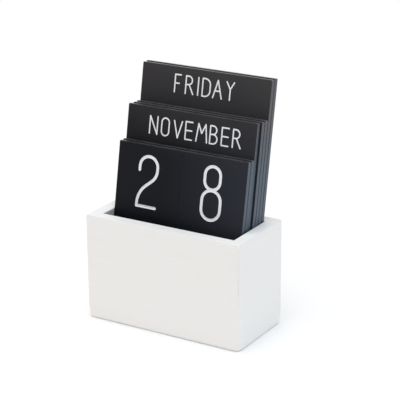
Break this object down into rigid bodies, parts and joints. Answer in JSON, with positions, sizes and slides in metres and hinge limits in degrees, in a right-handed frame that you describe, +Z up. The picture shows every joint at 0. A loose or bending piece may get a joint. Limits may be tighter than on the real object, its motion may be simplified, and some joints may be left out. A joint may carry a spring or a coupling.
{
  "type": "perpetual desk calendar",
  "caption": "White painted wooden box holder with loose black tiles in stepped leaning rows that show the weekday, month and date and lift out to be turned or swapped.",
  "frame": {"origin": "centre of the holder's underside, on the surface it stands on", "axes": "+Z up, +X to the viewer's right, +Y to the back, the way the tiles lean"},
  "size_m": [0.1204, 0.0677, 0.1706],
  "materials": {
    "white_paint": "satin white paint on wooden board",
    "black_tile": "matt black paint on thin wooden board"
  },
  "bodies": {
    "holder": {"front_board": "white_paint", "back_board": "white_paint", "left_board": "white_paint", "right_board": "white_paint", "base_board": "white_paint"},
    "number_left_front": {"number_tile_left_front": "black_tile"},
    "number_left_rear": {"number_tile_left_rear": "black_tile"},
    "number_right_front": {"number_tile_right_front": "black_tile"},
    "number_right_rear": {"number_tile_right_rear": "black_tile"},
    "month_front": {"month_tile_front": "black_tile"},
    "month_middle": {"month_tile_middle": "black_tile"},
    "month_rear": {"month_tile_rear": "black_tile"},
    "weekday_front": {"weekday_tile_front": "black_tile"},
    "weekday_rear": {"weekday_tile_rear": "black_tile"}
  },
  "joints": [
    {"name": "lift_number_left_front", "type": "slide", "parent": "holder", "child": "number_left_front", "axis": [0, 0.1822, 0.9833], "range_m": [0, 0.072]},
    {"name": "lift_number_left_rear", "type": "slide", "parent": "holder", "child": "number_left_rear", "axis": [0, 0.1822, 0.9833], "range_m": [0, 0.072]},
    {"name": "lift_number_right_front", "type": "slide", "parent": "holder", "child": "number_right_front", "axis": [0, 0.1822, 0.9833], "range_m": [0, 0.072]},
    {"name": "lift_number_right_rear", "type": "slide", "parent": "holder", "child": "number_right_rear", "axis": [0, 0.1822, 0.9833], "range_m": [0, 0.072]},
    {"name": "lift_month_front", "type": "slide", "parent": "holder", "child": "month_front", "axis": [0, 0.1822, 0.9833], "range_m": [0, 0.072]},
    {"name": "lift_month_middle", "type": "slide", "parent": "holder", "child": "month_middle", "axis": [0, 0.1822, 0.9833], "range_m": [0, 0.072]},
    {"name": "lift_month_rear", "type": "slide", "parent": "holder", "child": "month_rear", "axis": [0, 0.1822, 0.9833], "range_m": [0, 0.072]},
    {"name": "lift_weekday_front", "type": "slide", "parent": "holder", "child": "weekday_front", "axis": [0, 0.1822, 0.9833], "range_m": [0, 0.072]},
    {"name": "lift_weekday_rear", "type": "slide", "parent": "holder", "child": "weekday_rear", "axis": [0, 0.1822, 0.9833], "range_m": [0, 0.072]}
  ]
}
